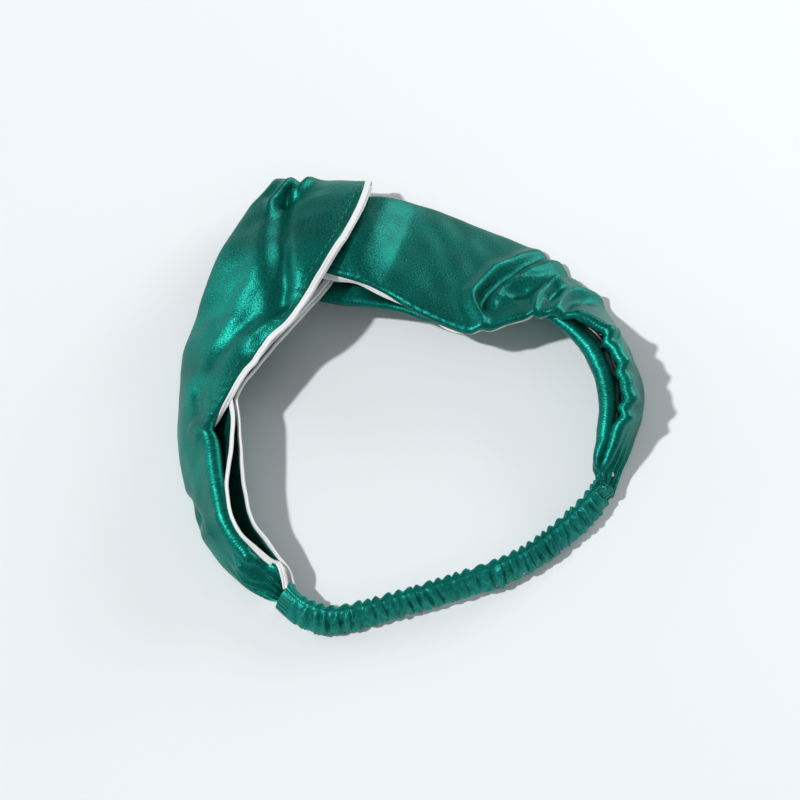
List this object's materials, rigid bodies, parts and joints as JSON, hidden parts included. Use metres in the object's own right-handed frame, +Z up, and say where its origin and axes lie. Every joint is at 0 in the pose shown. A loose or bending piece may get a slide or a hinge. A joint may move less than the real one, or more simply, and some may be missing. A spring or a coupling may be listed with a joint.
{
  "type": "knotted headband",
  "caption": "Soft satin headband: two folded, piped strips looped through each other in a front knot, joined at the back by a ruched elastic casing.",
  "frame": {"origin": "middle of the whole headband's box, on the surface it lies on", "axes": "+Z up from that surface, +Y from the elastic at the back towards the knot at the front, +X towards the right loop"},
  "size_m": [0.1785, 0.1869, 0.0326],
  "materials": {
    "satin": "emerald satin, fine crosswise grain, soft sheen",
    "piping": "white satin, folded flat",
    "casing_satin": "ruched emerald satin",
    "elastic": "knitted elastic",
    "thread": "sewing thread"
  },
  "bodies": {
    "left_loop": {"left_satin_strip": "satin", "left_outer_piping": "piping", "left_inner_piping": "piping", "left_piping_stitches": "thread", "left_bar_tack": "thread", "elastic_casing": "casing_satin", "elastic_band": "elastic", "casing_zigzag_thread": "thread"},
    "right_loop": {"right_satin_strip": "satin", "right_outer_piping": "piping", "right_inner_piping": "piping", "right_piping_stitches": "thread", "right_bar_tack": "thread"}
  },
  "joints": [
    {"name": "knot_spread", "type": "hinge", "parent": "left_loop", "child": "right_loop", "pos_m": [-0.006, 0.064, 0], "axis": [0, 0, 1], "range_deg": [0, 36], "stiffness_Nm_per_rad": 0.9, "deforming": ["left_satin_strip", "right_satin_strip", "elastic_casing", "elastic_band", "casing_zigzag_thread", "left_outer_piping", "left_inner_piping", "left_piping_stitches", "right_outer_piping", "right_inner_piping", "right_piping_stitches"]}
  ]
}
